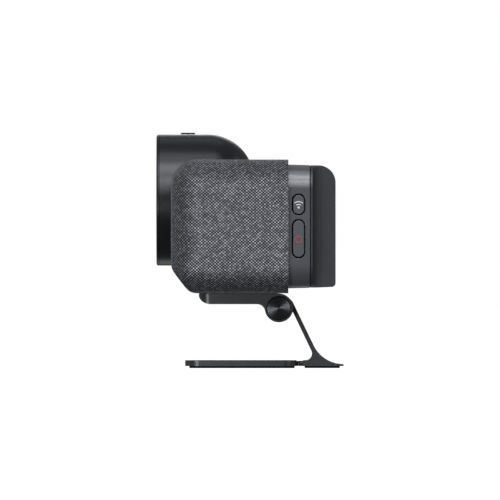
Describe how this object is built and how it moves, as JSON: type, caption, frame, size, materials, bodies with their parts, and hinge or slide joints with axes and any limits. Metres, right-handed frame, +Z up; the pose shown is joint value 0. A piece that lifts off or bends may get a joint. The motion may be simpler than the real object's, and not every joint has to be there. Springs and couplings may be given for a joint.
{
  "type": "conference speaker",
  "caption": "Fabric-covered desk conference speaker with a central camera drum and privacy shutter, side buttons, and a friction-hinged tilt stand with a folding foot.",
  "frame": {"origin": "on the desk, under the middle of the bounding box", "axes": "+X along the bar toward the buttons, +Y to the rear, +Z up; the camera looks along -Y"},
  "size_m": [0.22, 0.0862, 0.1084],
  "materials": {
    "sleeve_fabric": "diagonal weave of light and dark grey yarns, matte",
    "inner_plastic": "moulded, fine grain",
    "housing_plastic": "dark cool grey, satin, fine grain",
    "button_plastic": "dark cool grey, satin",
    "black_plastic": "black, moulded",
    "drum_plastic": "dark grey, satin paint",
    "window_glass": "dark tinted glass, polished",
    "lens_glass": "coated lens glass",
    "light_diffuser": "milky diffuser",
    "circuit_board": "green solder mask",
    "aluminium_parts": "bare, lightly brushed",
    "bright_steel": "plated",
    "brass_parts": "turned",
    "cone_paper": "pressed paper, black",
    "stand_coating": "dark grey, satin powder coat",
    "cap_metal": "black, turned in circles",
    "pad_rubber": "black, matte"
  },
  "bodies": {
    "stand": {"stand_leg": "stand_coating", "heel_pad": "pad_rubber", "fold_pin": "bright_steel", "hinge_pin": "bright_steel"},
    "foot": {"front_foot": "stand_coating", "front_pad": "pad_rubber"},
    "speaker": {"fabric_sleeve": "sleeve_fabric", "speaker_frame": "inner_plastic", "rear_housing": "housing_plastic", "rear_cover": "housing_plastic", "main_board": "circuit_board", "port_board": "circuit_board", "antenna": "circuit_board", "button_board": "circuit_board", "image_sensor_board": "circuit_board", "left_microphone_board": "circuit_board", "right_microphone_board": "circuit_board", "heat_sink": "aluminium_parts", "camera_bracket": "aluminium_parts", "usb_port": "bright_steel", "power_port": "bright_steel", "audio_jack": "black_plastic", "camera_drum": "drum_plastic", "camera_bezel": "drum_plastic", "camera_window": "window_glass", "lens_shroud": "black_plastic", "lens_barrel": "black_plastic", "lens": "lens_glass", "status_light": "light_diffuser", "wireless_switch": "black_plastic", "power_switch": "black_plastic", "mount_arm": "stand_coating", "arm_screw": "bright_steel", "threaded_insert": "brass_parts", "left_hinge_cap": "cap_metal", "right_hinge_cap": "cap_metal", "left_friction_washer": "bright_steel", "right_friction_washer": "bright_steel", "cover_screw_1": "bright_steel", "cover_screw_2": "bright_steel", "cover_screw_3": "bright_steel", "cover_screw_4": "bright_steel", "left_driver_basket": "black_plastic", "left_driver_magnet": "bright_steel", "left_driver_surround": "pad_rubber", "right_driver_basket": "black_plastic", "right_driver_magnet": "bright_steel", "right_driver_surround": "pad_rubber"},
    "wireless_button": {"wireless_button": "button_plastic"},
    "power_button": {"power_button": "button_plastic"},
    "shutter": {"shutter_slider": "black_plastic", "shutter_blade": "black_plastic"},
    "left_cone": {"left_driver_cone": "cone_paper"},
    "right_cone": {"right_driver_cone": "cone_paper"}
  },
  "joints": [
    {"name": "tilt_hinge", "type": "hinge", "parent": "stand", "child": "speaker", "pos_m": [0, 0.0133, 0.0276], "axis": [1, 0, 0], "range_deg": [-45, 40]},
    {"name": "fold_hinge", "type": "hinge", "parent": "stand", "child": "foot", "pos_m": [0, 0.02295, 0.00202], "axis": [1, 0, 0], "range_deg": [0, 90]},
    {"name": "wireless_button_press", "type": "slide", "parent": "speaker", "child": "wireless_button", "axis": [-1, 0, 0], "range_m": [0, 0.0006], "stiffness_N_per_m": 1200},
    {"name": "power_button_press", "type": "slide", "parent": "speaker", "child": "power_button", "axis": [-1, 0, 0], "range_m": [0, 0.0006], "stiffness_N_per_m": 1200},
    {"name": "shutter_slide", "type": "slide", "parent": "speaker", "child": "shutter", "axis": [1, 0, 0], "range_m": [0, 0.01]},
    {"name": "left_cone_travel", "type": "slide", "parent": "speaker", "child": "left_cone", "axis": [0, 1, 0], "range_m": [-0.0015, 0.0015], "stiffness_N_per_m": 900},
    {"name": "right_cone_travel", "type": "slide", "parent": "speaker", "child": "right_cone", "axis": [0, 1, 0], "range_m": [-0.0015, 0.0015], "stiffness_N_per_m": 900}
  ]
}
